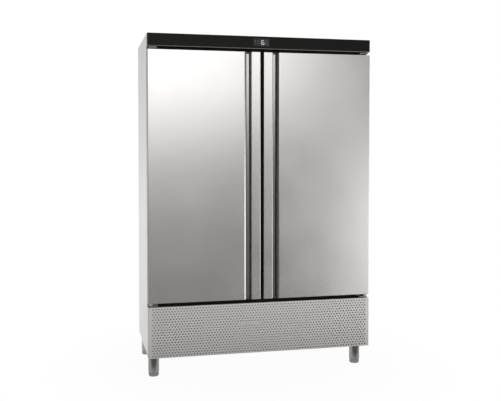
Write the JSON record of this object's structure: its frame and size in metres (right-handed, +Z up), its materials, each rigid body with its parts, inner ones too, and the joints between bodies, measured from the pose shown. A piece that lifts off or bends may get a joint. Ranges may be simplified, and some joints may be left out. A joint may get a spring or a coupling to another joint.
{
  "type": "two-door refrigerator",
  "caption": "Upright stainless refrigerator with side-by-side doors, recessed full-height grips, control strip, perforated lower panel, inner shelves and adjustable legs.",
  "frame": {"origin": "on the floor, under the centre of the footprint", "axes": "+Z up, -Y towards someone who stands in front of the doors, +X to their right"},
  "size_m": [1.388, 0.7, 2.067],
  "materials": {
    "brushed_stainless": "satin",
    "liner_stainless": "satin",
    "galvanised": "satin",
    "leg_stainless": "satin",
    "shelf_steel": "satin",
    "coated_wire": "gloss",
    "foam": "matte",
    "edge_plastic": "matte",
    "grip_profile": "satin",
    "gasket_rubber": "matte",
    "nylon": "satin",
    "fascia_black": "gloss",
    "controller_plastic": "matte",
    "key_plastic": "satin",
    "smoked_lens": "gloss",
    "lamp_plastic": "satin",
    "black_steel": "satin",
    "mount_rubber": "matte",
    "coil_aluminium": "satin",
    "coil_black": "satin",
    "frame_black": "satin",
    "copper": "satin",
    "dark_plastic": "satin",
    "motor_metal": "satin"
  },
  "bodies": {
    "cabinet": {"base_pan": "galvanised", "centre_mullion": "liner_stainless", "compressor": "black_steel", "compressor_mounts": "mount_rubber", "condensate_tray": "galvanised", "condenser_coil": "coil_black", "control_box": "brushed_stainless", "control_fascia": "fascia_black", "controller": "controller_plastic", "display_lens": "smoked_lens", "electrical_parts": "dark_plastic", "evaporator_coil": "coil_aluminium", "evaporator_cover": "liner_stainless", "fan_motors": "motor_metal", "fan_shroud": "frame_black", "front_frame": "frame_black", "grille_backing": "galvanised", "grille_panel": "brushed_stainless", "hinge_brackets": "frame_black", "inner_liner": "liner_stainless", "insulation": "foam", "interior_lamp": "lamp_plastic", "legs": "leg_stainless", "machine_ceiling": "galvanised", "rear_grille": "frame_black", "rear_panel": "brushed_stainless", "refrigerant_pipes": "copper", "screws": "galvanised", "shelf_supports": "shelf_steel", "side_panel_left": "brushed_stainless", "side_panel_right": "brushed_stainless", "top_panel": "brushed_stainless", "wire_shelves_left": "coated_wire", "wire_shelves_right": "coated_wire"},
    "left_door": {"door_skin_left": "brushed_stainless", "door_frame_left": "edge_plastic", "grip_channel_left": "grip_profile", "door_core_left": "foam", "door_inner_panel_left": "liner_stainless", "door_gasket_left": "gasket_rubber", "hinge_bushes_left": "nylon"},
    "right_door": {"door_skin_right": "brushed_stainless", "door_frame_right": "edge_plastic", "grip_channel_right": "grip_profile", "door_core_right": "foam", "door_inner_panel_right": "liner_stainless", "door_gasket_right": "gasket_rubber", "hinge_bushes_right": "nylon"},
    "key_power": {"key_power": "key_plastic"},
    "key_set": {"key_set": "key_plastic"},
    "key_up": {"key_up": "key_plastic"},
    "key_down": {"key_down": "key_plastic"},
    "foot_front_left": {"foot_front_left": "leg_stainless"},
    "foot_front_right": {"foot_front_right": "leg_stainless"},
    "foot_rear_left": {"foot_rear_left": "leg_stainless"},
    "foot_rear_right": {"foot_rear_right": "leg_stainless"},
    "evaporator_fan_left": {"evaporator_fan_left": "dark_plastic"},
    "evaporator_fan_right": {"evaporator_fan_right": "dark_plastic"},
    "condenser_fan": {"condenser_fan": "dark_plastic"}
  },
  "joints": [
    {"name": "left_door_hinge", "type": "hinge", "parent": "cabinet", "child": "left_door", "pos_m": [-0.677, -0.322, 1.22025], "axis": [0, 0, -1], "range_deg": [0, 110], "stiffness_Nm_per_rad": 2, "springref_deg": -5.73},
    {"name": "right_door_hinge", "type": "hinge", "parent": "cabinet", "child": "right_door", "pos_m": [0.677, -0.322, 1.22025], "axis": [0, 0, 1], "range_deg": [0, 110], "stiffness_Nm_per_rad": 2, "springref_deg": -5.73},
    {"name": "evaporator_fan_left_spin", "type": "hinge", "parent": "cabinet", "child": "evaporator_fan_left", "pos_m": [-0.21, 0.0065, 1.912], "axis": [0, -1, 0], "continuous": true},
    {"name": "evaporator_fan_right_spin", "type": "hinge", "parent": "cabinet", "child": "evaporator_fan_right", "pos_m": [0.21, 0.0065, 1.912], "axis": [0, -1, 0], "continuous": true},
    {"name": "condenser_fan_spin", "type": "hinge", "parent": "cabinet", "child": "condenser_fan", "pos_m": [-0.33, -0.172, 0.271], "axis": [0, -1, 0], "continuous": true},
    {"name": "foot_front_left_slide", "type": "slide", "parent": "cabinet", "child": "foot_front_left", "axis": [0, 0, -1], "range_m": [0, 0.035]},
    {"name": "foot_front_right_slide", "type": "slide", "parent": "cabinet", "child": "foot_front_right", "axis": [0, 0, -1], "range_m": [0, 0.035]},
    {"name": "foot_rear_left_slide", "type": "slide", "parent": "cabinet", "child": "foot_rear_left", "axis": [0, 0, -1], "range_m": [0, 0.035]},
    {"name": "foot_rear_right_slide", "type": "slide", "parent": "cabinet", "child": "foot_rear_right", "axis": [0, 0, -1], "range_m": [0, 0.035]},
    {"name": "key_power_press", "type": "slide", "parent": "cabinet", "child": "key_power", "axis": [0, 1, 0], "range_m": [0, 0.0008], "stiffness_N_per_m": 400},
    {"name": "key_set_press", "type": "slide", "parent": "cabinet", "child": "key_set", "axis": [0, 1, 0], "range_m": [0, 0.0008], "stiffness_N_per_m": 400},
    {"name": "key_up_press", "type": "slide", "parent": "cabinet", "child": "key_up", "axis": [0, 1, 0], "range_m": [0, 0.0008], "stiffness_N_per_m": 400},
    {"name": "key_down_press", "type": "slide", "parent": "cabinet", "child": "key_down", "axis": [0, 1, 0], "range_m": [0, 0.0008], "stiffness_N_per_m": 400}
  ]
}
